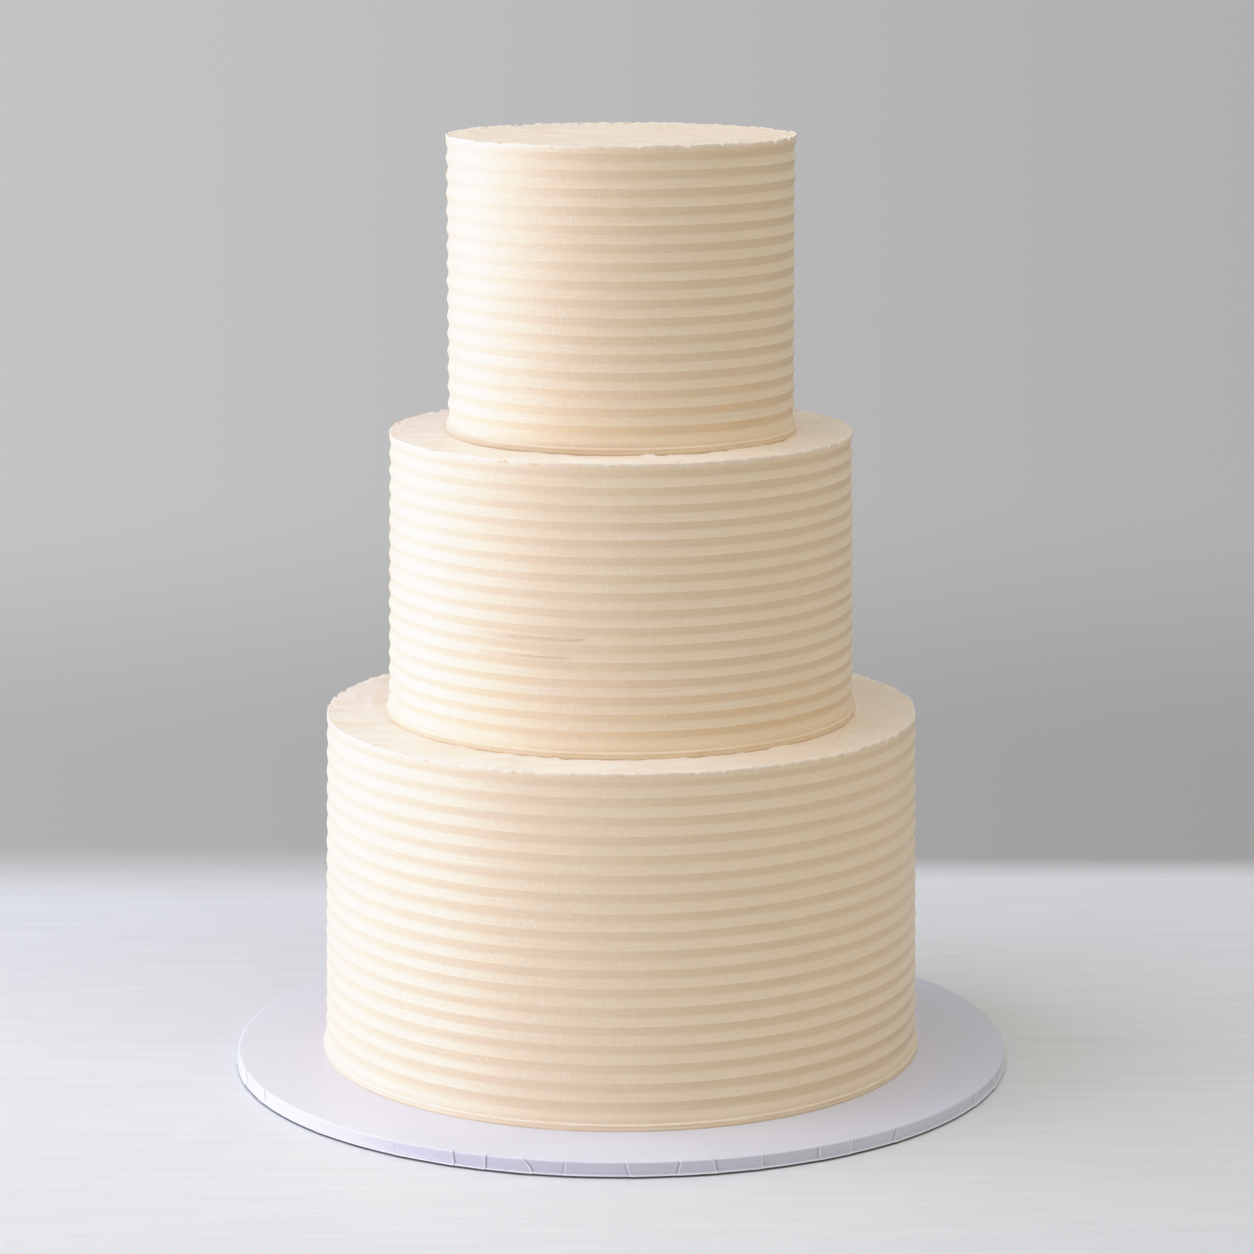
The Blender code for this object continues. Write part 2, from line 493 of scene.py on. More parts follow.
def along(tree, axis, vector):
    """A vector's share along X, Y or Z."""
    return add_node(tree, "ShaderNodeSeparateXYZ", {"Vector": vector}).outputs[axis]


def own_attribute(tree, name):
    return add_node(tree, "ShaderNodeAttribute", attribute_name=name).outputs["Fac"]


def stretched_noise(tree, place, cell, detail=3.0, roughness=0.55):
    """Noise, 0 to 1, over cells of these sizes in metres along X, Y and Z."""
    scale = tuple(1 / size for size in cell)
    mapping = add_node(tree, "ShaderNodeMapping", {"Vector": place, "Scale": scale})
    noise = add_node(
        tree,
        "ShaderNodeTexNoise",
        {"Vector": mapping.outputs["Vector"], "Scale": 1.0, "Detail": detail, "Roughness": roughness},
    )
    return noise.outputs["Fac"]


def mapped(tree, value, from_low, from_high, to_low=0.0, to_high=1.0):
    """The value eased from one range to another."""
    made = add_node(
        tree,
        "ShaderNodeMapRange",
        {"Value": value, "From Min": from_low, "From Max": from_high, "To Min": to_low, "To Max": to_high},
        interpolation_type="SMOOTHSTEP",
    )
    return made.outputs["Result"]


def multiplied(tree, *values):
    """The product of all the values."""
    product = values[0]
    for value in values[1:]:
        product = add_node(tree, "ShaderNodeMath", {0: product, 1: value}, operation="MULTIPLY").outputs[0]
    return product


def mixed_colour(tree, share, first, second):
    """The first colour where share is 0, the second where it is 1."""
    made = add_node(tree, "ShaderNodeMix", data_type="RGBA")
    for socket, value in ((0, share), (6, first), (7, second)):
        if isinstance(value, bpy.types.NodeSocket):
            tree.links.new(value, made.inputs[socket])
        else:
            made.inputs[socket].default_value = (*value, 1.0)
    return made.outputs[2]


def bumped(tree, height, depth, normal=None):
    """The normal with this height, 0 to 1, standing out by depth metres."""
    made = add_node(tree, "ShaderNodeBump", {"Height": height, "Distance": depth, "Strength": 1.0})
    if normal is not None:
        tree.links.new(normal, made.inputs["Normal"])
    return made.outputs["Normal"]


def new_material(name):
    material = bpy.data.materials.new(name)
    material.use_nodes = True
    tree = material.node_tree
    return material, tree, tree.nodes["Principled BSDF"]


def leaning_marks(tree, place):
    """Short thin scraper marks, 0 to 1, which lean both ways and come in patches."""
    marks = []
    for lean in (-MARK_LEAN, MARK_LEAN):
        angle = multiplied(tree, along(tree, "Z", place), lean)
        leaned = add_node(
            tree, "ShaderNodeVectorRotate", {"Vector": place, "Angle": angle}, rotation_type="Z_AXIS"
        ).outputs["Vector"]
        marks.append(mapped(tree, stretched_noise(tree, leaned, MARK_CELL, detail=1.0), *MARK_RANGE))
    either = add_node(tree, "ShaderNodeMath", {0: marks[0], 1: marks[1]}, operation="MAXIMUM").outputs[0]
    patches = mapped(tree, stretched_noise(tree, place, MARK_PATCH_CELL), *MARK_PATCHES)
    return multiplied(tree, either, patches)


def scattered_dots(tree, place, spacing, size):
    """Round dots, 1 in their middles, this far apart and this large, in metres."""
    cells = add_node(tree, "ShaderNodeTexVoronoi", {"Vector": place, "Scale": 1 / spacing}, feature="F1")
    return mapped(tree, cells.outputs["Distance"], 0.35 * size / spacing, size / spacing, 1.0, 0.0)


def make_buttercream():
    """Ivory icing with the comb's and the scraper's marks.

    It carries painted shade under each ridge and a painted sheen on the top faces, and
    both change from left to right, as soft light makes them look.
    """
    material, tree, shader = new_material("buttercream_icing")
    place = own_place(tree)
    streaks = stretched_noise(tree, place, STREAK_CELL, detail=2.0)
    broad_streaks = stretched_noise(tree, place, BROAD_STREAK_CELL, detail=1.0)
    grain = stretched_noise(tree, place, GRAIN_CELL, detail=2.0)
    marks = leaning_marks(tree, place)
    upward = along(tree, "Z", add_node(tree, "ShaderNodeNewGeometry").outputs["Normal"])
    to_right = mapped(tree, along(tree, "X", place), *LEFT_TO_RIGHT)

    # Painted shade on the facets that face down under each ridge, deeper towards the right
    under_shade_colour = mixed_colour(tree, to_right, BUTTERCREAM_UNDER_SHADE, BUTTERCREAM_SHADED)
    colour = mixed_colour(tree, mapped(tree, upward, *SHADE_UNDER_RIDGE), BUTTERCREAM, under_shade_colour)
    # The scraper's marks and the streaks are painted highlights, only on the facets that face up and fewer to
    # the right
    shown = mapped(tree, upward, *MARKS_LIT_FACING_UP)
    marks_highlight = multiplied(tree, marks, shown, mapped(tree, to_right, *MARKS_FEWER_RIGHT))
    streak_highlights = multiplied(tree, mapped(tree, streaks, *STREAK_LINES), shown)
    # Painted sheen and light on the faces that look up, strongest on the lower ledges and at the left
    top_patches = mapped(tree, stretched_noise(tree, place, TOP_PATCH_CELL), *TOP_PATCHES)
    top_sheen_colour = mixed_colour(tree, top_patches, BUTTERCREAM_TOP_SHEEN, BUTTERCREAM_TOP_SHEEN_DEEP)
    paler = multiplied(
        tree,
        mapped(tree, upward, *SHEEN_FACING_UP),
        mapped(tree, along(tree, "Z", place), *TOP_SHEEN_LOW),
        mapped(tree, to_right, *TOP_SHEEN_LEFT),
    )
    seam_breaks = mapped(tree, stretched_noise(tree, place, SEAM_BREAK_CELL), *SEAM_BREAKS)
    # Painted highlights on the marks, the streaks, the rim, the crumbs and the drag lines' tops, painted
    # sheen on the top faces, painted warm light at the foot, and the seam's darker tone with painted shade
    # and painted shadows
    tones = (
        (marks_highlight, BUTTERCREAM_HIGHLIGHT),
        (streak_highlights, BUTTERCREAM_HIGHLIGHT),
        (paler, top_sheen_colour),
        (own_attribute(tree, "glow"), BUTTERCREAM_FOOT_WARM_LIGHT),
        (own_attribute(tree, "edge"), BUTTERCREAM_HIGHLIGHT),
        (multiplied(tree, own_attribute(tree, "seam"), seam_breaks), BUTTERCREAM_SEAM_AND_SHADE),
    )
    for share, tone in tones:
        colour = mixed_colour(tree, share, colour, tone)
    tree.links.new(colour, shader.inputs["Base Color"])
    tree.links.new(mapped(tree, grain, *ICING_ROUGHNESS), shader.inputs["Roughness"])

    reliefs = (
        (broad_streaks, 0.20 * MM),
        (streaks, 0.16 * MM),
        (marks, 0.06 * MM),
        (grain, 0.04 * MM),
        (scattered_dots(tree, place, *SPECKS), 0.15 * MM),
        (scattered_dots(tree, place, *PINHOLES), -0.12 * MM),
    )
    normal = None
    for height, depth in reliefs:
        normal = bumped(tree, height, depth, normal)
    tree.links.new(normal, shader.inputs["Normal"])
    shader.inputs["Subsurface Weight"].default_value = 0.08
    shader.inputs["Subsurface Radius"].default_value = (1.0, 0.6, 0.35)
    shader.inputs["Subsurface Scale"].default_value = 1.2 * MM
    shader.inputs["Specular IOR Level"].default_value = 0.5
    return material


def make_paper():
    """White paper with a cool cast and a satin face, over dark card."""
    material, tree, shader = new_material("board_paper")
    place = own_place(tree)
    clouds = mapped(tree, stretched_noise(tree, place, PAPER_CLOUD_CELL), *PAPER_CLOUDS)
    fibres = stretched_noise(tree, place, FIBRE_CELL, detail=2.0)
    darker, paler = (tuple(share * tone for share in PAPER) for tone in PAPER_CLOUD_TONES)
    across = along(tree, "X", place)
    # The side's painted shade, less of it towards the left
    side_lit_left = mapped(tree, across, *BOARD_SIDE_FAR_LEFT)
    # Painted light at the left and painted shade at the right, then the side's painted shade, painted
    # highlights, painted shadows and the card with painted shade
    tones = (
        (mapped(tree, across, *BOARD_FAR_LEFT), PAPER_LIT_LEFT),
        (mapped(tree, across, *BOARD_FAR_RIGHT), PAPER_SHADED_RIGHT),
        (own_attribute(tree, "side"), mixed_colour(tree, side_lit_left, PAPER_SIDE_SHADE, PAPER_SIDE_LIT_LEFT)),
        (own_attribute(tree, "fold"), PAPER_HIGHLIGHT),
        (own_attribute(tree, "shadow"), PAPER_SHADOW),
        (own_attribute(tree, "core"), BOARD_CORE_AND_SHADE),
    )
    colour = mixed_colour(tree, clouds, darker, paler)
    for share, tone in tones:
        colour = mixed_colour(tree, share, colour, tone)
    tree.links.new(colour, shader.inputs["Base Color"])
    tree.links.new(mapped(tree, fibres, *PAPER_ROUGHNESS), shader.inputs["Roughness"])
    tree.links.new(bumped(tree, fibres, FIBRE_HEIGHT), shader.inputs["Normal"])
    shader.inputs["Specular IOR Level"].default_value = 0.5
    return material


def node_sizes(node):
    """A tier's foot and top height, and its radius at the rim and at the foot, from its solid."""
    low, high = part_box(node)
    corners = np.array([tuple(vertex.co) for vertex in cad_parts[node].data.vertices])
    by_rim = corners[:, 2] > high.z - RIM_BAND_HEIGHT / 2
    rim = np.hypot(corners[by_rim, 0], corners[by_rim, 1]).max()
    foot = np.hypot(corners[:, 0], corners[:, 1]).max() - BASE_LIP_PROUD
    return low.z, high.z, rim, foot


def ridge_cut(phase):
    """How far the comb has cut in at this phase of a ridge, 0 at its crest and 1 in the grooves."""
    share = phase % 1.0
    bead = bell(share - CREST_BEAD_AT, CREST_BEAD_WIDTH) * CREST_BEAD / RIDGE_DEPTH
    straight = np.abs(2 * share - 1)
    rounded = 0.5 + 0.5 * np.cos(2 * math.pi * share)
    return RIDGE_STRAIGHT * straight + (1 - RIDGE_STRAIGHT) * rounded - bead


def tier_rings(base, top, rim, foot, ridges, depth, segments, hidden_radius):
    """The rings of a tier as rows of radius, height, comb cut and segments."""
    height = top - base
    fine = segments * FINE_RIM
    rings = []
    first = max(hidden_radius - HIDDEN_MARGIN, TOP_RING_STEP / 2)
    for radius in np.arange(first, rim - RIM_INSETS[0] * MM - TOP_RING_STEP / 2, TOP_RING_STEP):
        rings.append((radius, top, 0.0, segments))
    for inset in RIM_INSETS:
        rings.append((rim - inset * MM, top, 0.0, fine))
    band_slope = RIM_BAND_HEIGHT - RIM_UPRIGHT_FOOT
    for drop in RIM_DROPS:
        cut = max(0.0, (drop * MM - RIM_UPRIGHT_FOOT) / band_slope)
        rings.append((rim, top - drop * MM, cut * depth, fine))
    first_groove = height - RIM_BAND_HEIGHT
    pitch = (first_groove - BASE_BAND_HEIGHT) / ridges
    for ridge in range(ridges):
        for phase in RIDGE_PHASES:
            level = first_groove - (ridge + phase) * pitch
            radius = foot + (rim - foot) * level / height
            rings.append((radius, base + level, ridge_cut(phase) * depth, segments))
    rings.append((foot, base + BASE_BAND_HEIGHT, depth, segments))
    for proud, level in FOOT_PROFILE:
        rings.append((foot + proud, base + level, 0.0, segments))
    for proud in FOOT_SINK_PROUD:
        rings.append((foot + proud, base - FOOT_SINK, 0.0, segments))
    return rings


def comb_unevenness(angle, radius, height, cut, base, top, seed):
    """Radius and height after the hand's wobble, the comb's uneven depth and its drag."""
    still = on_circle(angle, radius, height)
    wall = smooth_step(radius, *(share * radius.max() for share in WALL_FADE))
    depth = 1 + wave(still, DEPTH_WAVE, seed)
    radius = radius - cut * depth * RIDGE_DEPTH
    radius = radius + wall * wave(still, WALL_WAVE, seed + 1)
    side = (height < top) & (height > base)
    radius = radius + side * wave(still, DRAG_STREAKS, seed + 2)
    free = smooth_step(top - height, RIM_UPRIGHT_FOOT, 3 * RIM_BAND_HEIGHT)
    free = free * smooth_step(height - base, BASE_BAND_HEIGHT / 2, 3 * BASE_BAND_HEIGHT)
    height = height + free * wave(still, LEVEL_WAVE, seed + 3)
    return radius, height


def scraped_rim(angle, radius, height, rim, top, seed):
    """Radius and height after the scraper has left a thin ragged lip along the rim."""
    still = on_circle(angle, radius, height)
    edge = on_circle(angle, np.full_like(radius, rim), np.full_like(radius, top))
    inset = rim - radius
    drop = top - height
    on_top = drop < TOP_FACE_WITHIN
    long_waves = lattice_noise(edge, LIP_LONG_CELL, seed)
    short_waves = lattice_noise(edge, LIP_SHORT_CELL, seed + 1)
    chips = smooth_step(lattice_noise(edge, CHIP_CELL, seed + 2), *CHIP_RANGE)
    mean, by_long, by_short = LIP_HEIGHTS
    lip = np.clip(mean + by_long * long_waves + by_short * short_waves, 0.0, None)
    lip = lip * (1 - chips) - CHIP_DEPTH * chips
    inwards, down = LIP_HEIGHT_FADES
    height = height + lip * np.where(on_top, bell(np.clip(inset, 0, None), inwards), bell(drop, down))
    flakes = smooth_step(lattice_noise(still, FLAKE_CELL, seed + 3), *FLAKE_RANGE)
    flakes = flakes * smooth_step(inset, *FLAKES_FADE_IN) * (1 - smooth_step(inset, *FLAKES_FADE_OUT))
    height = height + on_top * flakes * FLAKE_HEIGHT
    mean, by_long, by_short = LIP_LEANS
    lean = mean + by_long * long_waves + by_short * short_waves - CHIP_INSET * chips
    inwards, down = LIP_LEAN_FADES
    radius = radius + lean * np.where(on_top, bell(inset, inwards), bell(drop, down))
    return radius, height


def spread_top(angle, radius, height, rim, top, seed):
    """Height after the palette knife's curved strokes across the top face."""
    on_top = top - height < TOP_FACE_WITHIN
    turned = on_circle(angle + radius * STROKE_TWIST, radius, np.zeros_like(radius))
    strokes = lattice_noise(turned, STROKE_CELL, seed)
    edges = smooth_step(lattice_noise(turned, STROKE_EDGE_CELL, seed + 1), *STROKE_EDGE_RANGE)
    swell = lattice_noise(on_circle(angle, radius, height), SWELL_CELL, seed + 2)
    relief = STROKE_HEIGHT * strokes + STROKE_EDGE_HEIGHT * edges + SWELL_HEIGHT * swell
    return height + on_top * smooth_step(rim - radius, *STROKES_FADE_IN) * relief


def tier_seed(number):
    return 100 * (number + 1)


def build_tier(node, ridges, depth, segments, foot_glow, hidden_radius, material, seed):
    """One tier of combed icing, with its foot squeezed out in a lip."""
    comb_seed, rim_seed, top_seed, foot_seed, rim_highlight_seed, notch_seed = range(seed, seed + 60, 10)
    base, top, rim, foot = node_sizes(node)
    rings = tier_rings(base, top, rim, foot, ridges, depth, segments, hidden_radius)
    counts = [ring[3] for ring in rings]
    radius, height, cut = (np.repeat([ring[k] for ring in rings], counts).astype(float) for k in range(3))
    angle = np.concatenate([np.arange(count) / count * 2 * math.pi for count in counts])
    still = on_circle(angle, radius, height)
    rise, drop, inset = height - base, top - height, rim - radius

    radius, height = comb_unevenness(angle, radius, height, cut, base, top, comb_seed)
    radius, height = scraped_rim(angle, radius, height, rim, top, rim_seed)
    height = spread_top(angle, radius, height, rim, top, top_seed)
    foot_line = on_circle(angle, np.full_like(radius, foot), np.zeros_like(radius))
    radius = radius + bell(rise - FOOT_WAVE_AT, FOOT_WAVE_WITHIN) * wave(foot_line, FOOT_WAVE, foot_seed)
    points = on_circle(angle, radius, height)

    # A painted highlight along the rim, in patches, and painted shadow in notches under it
    down, inwards = RIM_HIGHLIGHT_FADES
    edge = bell(drop, down) * bell(inset, inwards)
    edge = edge * (1 - RIM_HIGHLIGHT_PATCHES + RIM_HIGHLIGHT_PATCHES * lattice_noise(still, RIM_HIGHLIGHT_CELL, rim_highlight_seed))
    notch_shadows = smooth_step(lattice_noise(still, NOTCH_CELL, notch_seed), *NOTCH_RANGE)
    notch_shadows = notch_shadows * bell(drop - NOTCH_AT, NOTCH_WITHIN)
    # The foot's seam, a darker tone with painted contact shade, and painted shadow in the notches
    seam = np.maximum(SEAM_SHADE * (1 - smooth_step(rise, 0.0, SEAM_TOP)), NOTCH_SHADE * notch_shadows)
    # Painted warm light on the foot, fading upwards
    glow = foot_glow * (1 - smooth_step(rise, *WARM_LIGHT_FADE))
    split = np.split(points, np.cumsum(counts)[:-1])
    piece = closed_mesh(node + "_icing", split, material, seam=seam, edge=edge, glow=glow)
    hand_over(piece, "buttercream", node)


def board_angles(creases, radius):
    """Angles round the board, one a degree, and close together at each crease."""
    even = np.radians(np.arange(0, 360, 1.0))
    offsets = np.array(CREASE_OFFSETS) * MM / radius
    dense = (creases[:, None] + offsets).ravel() % (2 * math.pi)
    return np.unique(np.round(np.concatenate([even, dense]), 6))


def board_profile(radius, thickness):
    """Points of radius and height, from the top's middle over the rounded edge to the underside."""
    wall = radius - BOARD_LIP_PROUD
    profile = [(share * (wall - BOARD_FLAT_INSET), thickness) for share in BOARD_FLAT_SHARES]
    profile += [(wall - inset * MM, thickness) for inset in BOARD_TOP_INSETS]
    for step in range(BOARD_EDGE_STEPS + 1):
        turn = math.pi / 2 * step / BOARD_EDGE_STEPS
        profile.append((
            wall - BOARD_EDGE_ROUNDING * (1 - math.sin(turn)),
            thickness - BOARD_EDGE_ROUNDING * (1 - math.cos(turn)),
        ))
    for height in BOARD_SIDE_HEIGHTS:
        profile.append((wall - (BOARD_SIDE_TOP - height) * BOARD_SIDE_SLOPE * MM, height * MM))
    profile += [(radius - inset, height) for inset, height in BOARD_FOOT_PROFILE]
    return profile


def crease_places(draw):
    """Angles of the pleats in the board's paper: the front ones as seen, the others at random steps."""
    places = [math.radians(place % 360) for place in FRONT_CREASES]
    place, end = BACK_CREASES
    while place < end:
        places.append(math.radians(place))
        place += draw.uniform(*BACK_CREASE_STEPS)
    return np.array(places)


def draw_creases(draw, radius):
    """The pleats as rows of place, slant and bow in radians, step, reach and strength."""
    places = crease_places(draw)
    count = len(places)
    slants = draw.normal(0, CREASE_SLANT, count) / radius
    bows = draw.normal(0, CREASE_BOW, count) / radius
    steps = draw.choice([-1, 1], count) * draw.uniform(*FLAP_STEPS, count)
    reaches = draw.uniform(*FLAP_REACHES, count)
    strengths = draw.uniform(*CREASE_STRENGTHS, count)
    return np.stack([places, slants, bows, steps, reaches, strengths], axis=1)


def pleated(angles, radius, up, creases):
    """The paper at this share of the board's height: shift round it, reach out, and bright and dark lines."""
    shift, out, bright, dark = np.zeros((4, len(angles)))
    for place, slant, bow, step, reach, strength in creases:
        away = (angles - place + math.pi) % (2 * math.pi) - math.pi
        shift += bell(away * radius, CREASE_WITHIN) * (slant * (2 * up - 1) + bow * (1 - (2 * up - 1) ** 2))
        side = away * radius * np.sign(step)
        flap = smooth_step(side, -FLAP_EDGE, FLAP_EDGE) * np.exp(-np.clip(side, 0, None) / reach)
        fold = bell(side + FOLD_WIDTH, FOLD_WIDTH)
        out += flap * abs(step) - fold * FOLD_DEPTH
        # A painted highlight line behind each fold, and painted shadow in the fold
        bright += strength * bell(side - BRIGHT_WIDTH, BRIGHT_WIDTH)
        dark += strength * fold
    return shift, out, bright, dark


def build_board(material):
    """The board: a disc in paper that is folded over its edge in pleats."""
    low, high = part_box("cake_board")
    radius = high.x
    thickness = high.z - low.z
    wall = radius - BOARD_LIP_PROUD
    edge_foot = thickness - BOARD_EDGE_ROUNDING / 2
    creases = draw_creases(np.random.default_rng(BOARD_SEED), radius)
    angles = board_angles(creases[:, 0], radius)
    rings = []
    shades = []
    for ring_radius, height in board_profile(radius, thickness):
        shift, out, bright, dark = pleated(angles, radius, height / thickness, creases)
        shown = smooth_step(ring_radius, *(wall - inset for inset in FLAP_FADE))
        ring = on_circle(angles + shift, ring_radius + shown * out, np.full_like(angles, low.z + height))
        if height > thickness - BOARD_EDGE_ROUNDING:
            ring[:, 2] += shown * out * FLAP_ON_TOP
        rings.append(ring)
        on_core = height < BOARD_CORE_TOP
        on_lip = BOARD_CORE_TOP < height < BOARD_LIP_TOP
        on_side = BOARD_LIP_TOP < height < edge_foot
        below_edge = shown * (height < edge_foot)
        # Shares of the bare card with painted shade, the side's painted shade, painted highlights on the
        # pleats and the lip, and painted shadow in the folds
        shades.append([
            np.full_like(angles, on_core),
            np.full_like(angles, on_side),
            np.maximum(below_edge * bright, on_lip),
            below_edge * dark * on_side,
        ])
    core, side, fold, shadow = (np.concatenate(shade) for shade in zip(*shades))
    piece = closed_mesh("board_covered", rings, material, core=core, side=side, fold=fold, shadow=shadow)
    hand_over(piece, "board_paper", "cake_board")


def crumb_points(shape, sizes, lean, angle, radius, height):
    """A crumb at this place, with its width, depth and length, leaning by this angle along the surface."""
    wide, deep, long = (shape * sizes).T
    across = wide * math.cos(lean) + long * math.sin(lean)
    up = long * math.cos(lean) - wide * math.sin(lean)
    outward = radius + deep
    return np.stack([
        outward * math.sin(angle) + across * math.cos(angle),
        -outward * math.cos(angle) + across * math.sin(angle),
        height + up,
    ], axis=1)


def build_crumbs(tiers, material):
    """Beads of icing that the scraper left on the rims, and slivers on the sides, as one mesh."""
    draw = np.random.default_rng(CRUMB_SEED)
    bead = bmesh.new()
    bmesh.ops.create_icosphere(bead, subdivisions=2, radius=1.0)
    shape = np.array([tuple(vertex.co) for vertex in bead.verts])
    triangles = np.array([[vertex.index for vertex in face.verts] for face in bead.faces])
    bead.free()
    crumbs = []
    for number, ((base, top, rim, foot), (_, ridges, depth, _, _)) in enumerate(zip(tiers, TIERS)):
        for _ in range(RIM_BEADS):
            sizes = draw.uniform(*BEAD_SIZES) * MM * draw.uniform(*BEAD_STRETCH, 3)
            inset = abs(draw.normal(0, BEAD_INSET))
            angle = draw.uniform(0, 2 * math.pi)
            crumbs.append(crumb_points(shape, sizes, 0.0, angle, rim - inset, top + BEAD_LIFT))
        around = draw.uniform(0, 2 * math.pi, SIDE_SLIVERS)
        front = draw.normal(FRONT_MIDDLE, FRONT_SPREAD, FRONT_SLIVERS)
        angles = np.concatenate([around, front])
        heights = draw.uniform(base + BASE_BAND_HEIGHT, top - RIM_BAND_HEIGHT, len(angles))
        pitch = (top - base - RIM_BAND_HEIGHT - BASE_BAND_HEIGHT) / ridges
        cuts = ridge_cut((top - RIM_BAND_HEIGHT - heights) / pitch) * depth
        radii = foot + (rim - foot) * (heights - base) / (top - base)
        radii, heights = comb_unevenness(angles, radii, heights, cuts, base, top, tier_seed(number))
        for angle, radius, height in zip(angles, radii, heights):
            sizes = draw.uniform(*SLIVER_SIZES) * MM
            lean = draw.choice([-1, 1]) * draw.uniform(*SLIVER_LEANS)
            crumbs.append(crumb_points(shape, sizes, lean, angle, radius, height))
    faces = np.concatenate([triangles + number * len(shape) for number in range(len(crumbs))])
    piece = mesh_piece("icing_crumbs", np.concatenate(crumbs), [faces], material)
    # A painted highlight on each crumb, of random strength
    crumb_highlight = draw.uniform(*CRUMB_HIGHLIGHT, len(crumbs))
    add_attribute(piece, "edge", np.repeat(crumb_highlight, len(shape)))
    hand_over(piece, "buttercream")


def build_drag_lines(tier, material):
    """Two fine burrs along the middle tier's side, each thicker in its middle."""
    base, top, rim, foot = tier
    corners = len(DRAG_TURNS)
    points, faces, seam, edge, first = [], [], [], [], 0
    for number, (level, start, end) in enumerate(DRAG_LINES):
        angle = np.radians(np.arange(start, end, DRAG_LINE_STEP))
        count = len(angle)
        share = np.linspace(0, 1, count)
        line = on_circle(angle, np.full_like(angle, rim), np.zeros_like(angle))
        at_ends, in_middle, at_random = DRAG_SIZES
        size = at_ends + in_middle * np.sin(math.pi * share)
        size = size + at_random * lattice_noise(line, DRAG_CELL, DRAG_SEED + number)
        radius = foot + (rim - foot) * (level - base) / (top - base) - DRAG_SUNK
        # Painted shadow under the burr towards one end, painted highlight on its top towards the other
        dark = smooth_step(share, *DRAG_SHADOW_FADE)
        for turn in DRAG_TURNS:
            reach = size * DRAG_STRETCH * math.cos(turn)
            points.append(on_circle(angle, radius + reach, level + size * math.sin(turn)))
            seam.append(DRAG_SHADOW * (turn < DRAG_UPPER) * dark)
            edge.append(DRAG_HIGHLIGHT * (turn > DRAG_UPPER) * (1 - dark))
        step = np.arange(count - 1)
        for side in range(corners):
            near, far = (first + corner % corners * count + step for corner in (side, side + 1))
            faces.append(np.stack([near, far, far + 1, near + 1], axis=1))
        ends = first + np.arange(corners) * count
        faces.append(ends[None, ::-1])
        faces.append((ends + count - 1)[None, :])
        first += corners * count
    piece = mesh_piece("comb_drag_lines", np.concatenate(points), faces, material)
    add_attribute(piece, "seam", np.concatenate(seam))
    add_attribute(piece, "edge", np.concatenate(edge))
    hand_over(piece, "buttercream")


def make_camera():
    lens = bpy.data.cameras.new("photo_camera")
    lens.sensor_width = SENSOR_WIDTH
    lens.lens = FOCAL_PIXELS / PHOTO_SIDE * SENSOR_WIDTH
    camera = bpy.data.objects.new("photo_camera", lens)
    camera.location = (0.0, -CAMERA_DISTANCE, CAMERA_HEIGHT)
    camera.rotation_euler = (math.pi / 2 - CAMERA_PITCH, 0.0, -CAMERA_TURN)
    bpy.context.scene.collection.objects.link(camera)
    bpy.context.scene.camera = camera


def soft_box(name, direction, elevation, distance, width, height, strength, colour):
    """A soft light that faces the cake from this direction and elevation."""
    light = bpy.data.lights.new(name, "AREA")
    light.shape = "RECTANGLE"
    light.size = width
    light.size_y = height
    light.energy = strength
    light.color = colour
    lamp = bpy.data.objects.new(name, light)
    turn, up = math.radians(direction), math.radians(elevation)
    aim = np.array([math.sin(turn) * math.cos(up), -math.cos(turn) * math.cos(up), math.sin(up)])
    lamp.location = aim * distance + np.array([0.0, 0.0, CAKE_MIDDLE])
    lamp.rotation_euler = (math.pi / 2 - up, 0.0, turn)
    bpy.context.scene.collection.objects.link(lamp)


def make_backdrop():
    """A plain grey backdrop for the camera, and faint even light on the cake."""
    world = bpy.data.worlds.new("studio")
    bpy.context.scene.world = world
    world.use_nodes = True
    tree = world.node_tree
    tree.nodes.clear()
    lighting = add_node(tree, "ShaderNodeLightPath").outputs["Is Diffuse Ray"]
    ambient = add_node(tree, "ShaderNodeBackground", {"Color": (1, 1, 1, 1), "Strength": AMBIENT_GREY})
    direction = add_node(tree, "ShaderNodeTexCoord").outputs["Generated"]
    across = mapped(tree, along(tree, "X", direction), *BACKDROP_FROM_TO, *BACKDROP_ACROSS)
    low_down = mapped(tree, along(tree, "Z", direction), *BACKDROP_FADE_FROM_TO, BACKDROP_LOW, 1.0)
    grey = multiplied(tree, across, low_down)
    backdrop = add_node(tree, "ShaderNodeBackground", {"Color": BACKDROP_TINT, "Strength": grey})
    mix = add_node(tree, "ShaderNodeMixShader", {0: lighting, 1: backdrop.outputs[0], 2: ambient.outputs[0]})
    add_node(tree, "ShaderNodeOutputWorld", {"Surface": mix.outputs[0]})


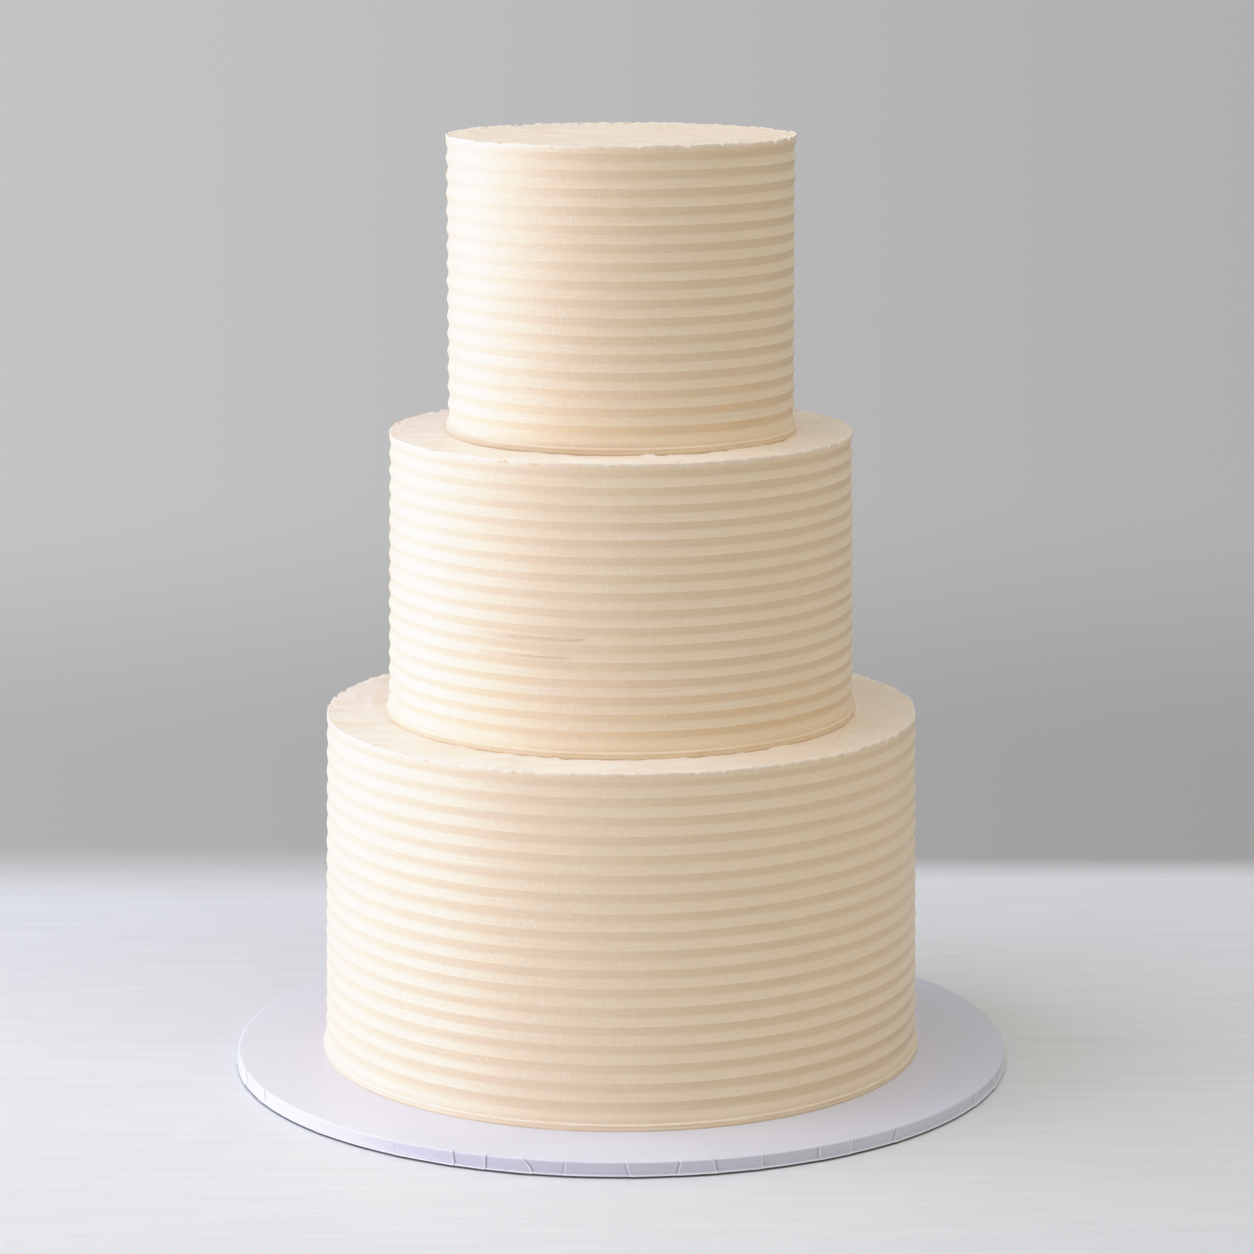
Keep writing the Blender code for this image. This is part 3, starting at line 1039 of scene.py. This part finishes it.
def make_table():
    """A plain pale table with a faint grain, which ends softly behind the cake."""
    material, tree, shader = new_material("pale_table")
    place = own_place(tree)
    streaks = stretched_noise(tree, place, TABLE_GRAIN_CELL, detail=5.0, roughness=0.65)
    darker = tuple(share * TABLE_GRAIN_TONE for share in TABLE)
    colour = mixed_colour(tree, mapped(tree, streaks, *TABLE_GRAIN), darker, TABLE)
    tree.links.new(colour, shader.inputs["Base Color"])
    shader.inputs["Roughness"].default_value = TABLE_ROUGHNESS
    across = along(tree, "X", place)
    fade_from = mapped(tree, across, *TABLE_EDGE_ACROSS, *TABLE_EDGE_FROM)
    fade_to = mapped(tree, across, *TABLE_EDGE_ACROSS, *TABLE_EDGE_TO)
    faded = mapped(tree, along(tree, "Y", place), fade_from, fade_to)
    clear = add_node(tree, "ShaderNodeBsdfTransparent")
    mix = add_node(tree, "ShaderNodeMixShader", {0: faded, 1: shader.outputs[0], 2: clear.outputs[0]})
    tree.links.new(mix.outputs[0], tree.nodes["Material Output"].inputs["Surface"])
    corners = np.array([
        (-TABLE_REACH, -TABLE_REACH, 0.0),
        (TABLE_REACH, -TABLE_REACH, 0.0),
        (TABLE_REACH, TABLE_EDGE_TO[0], 0.0),
        (-TABLE_REACH, TABLE_EDGE_TO[0], 0.0),
    ])
    table = mesh_piece("table_top", corners, [np.array([[0, 1, 2, 3]])], material)


def make_film_response():
    """Plain display colours with a camera's soft shoulder in the highlights."""
    view = bpy.context.scene.view_settings
    view.view_transform = "Standard"
    view.use_curve_mapping = True
    mapping = view.curve_mapping
    mapping.white_level = (SHOULDER_WHITE,) * 3
    curve = mapping.curves[3]
    room = 1 - SHOULDER
    curve.points[0].location = (0.0, 0.0)
    curve.points[1].location = (1.0, 1 - room * math.exp(-(SHOULDER_WHITE - SHOULDER) / room))
    curve.points.new(SHOULDER / SHOULDER_WHITE, SHOULDER)
    for step in range(1, SHOULDER_POINTS):
        light = SHOULDER + (SHOULDER_WHITE - SHOULDER) * (step / SHOULDER_POINTS) ** 2
        curve.points.new(light / SHOULDER_WHITE, 1 - room * math.exp(-(light - SHOULDER) / room))
    mapping.update()


make_camera()
buttercream = make_buttercream()
paper = make_paper()
build_board(paper)
sizes = [node_sizes(tier[0]) for tier in TIERS]
hidden = [sizes[1][3], sizes[2][3], 0.0]
for number, (tier, inner) in enumerate(zip(TIERS, hidden)):
    build_tier(*tier, inner, buttercream, tier_seed(number))
build_crumbs(sizes, buttercream)
build_drag_lines(sizes[1], buttercream)
make_table()
for light in LIGHTS:
    soft_box(*light)
make_backdrop()
make_film_response()
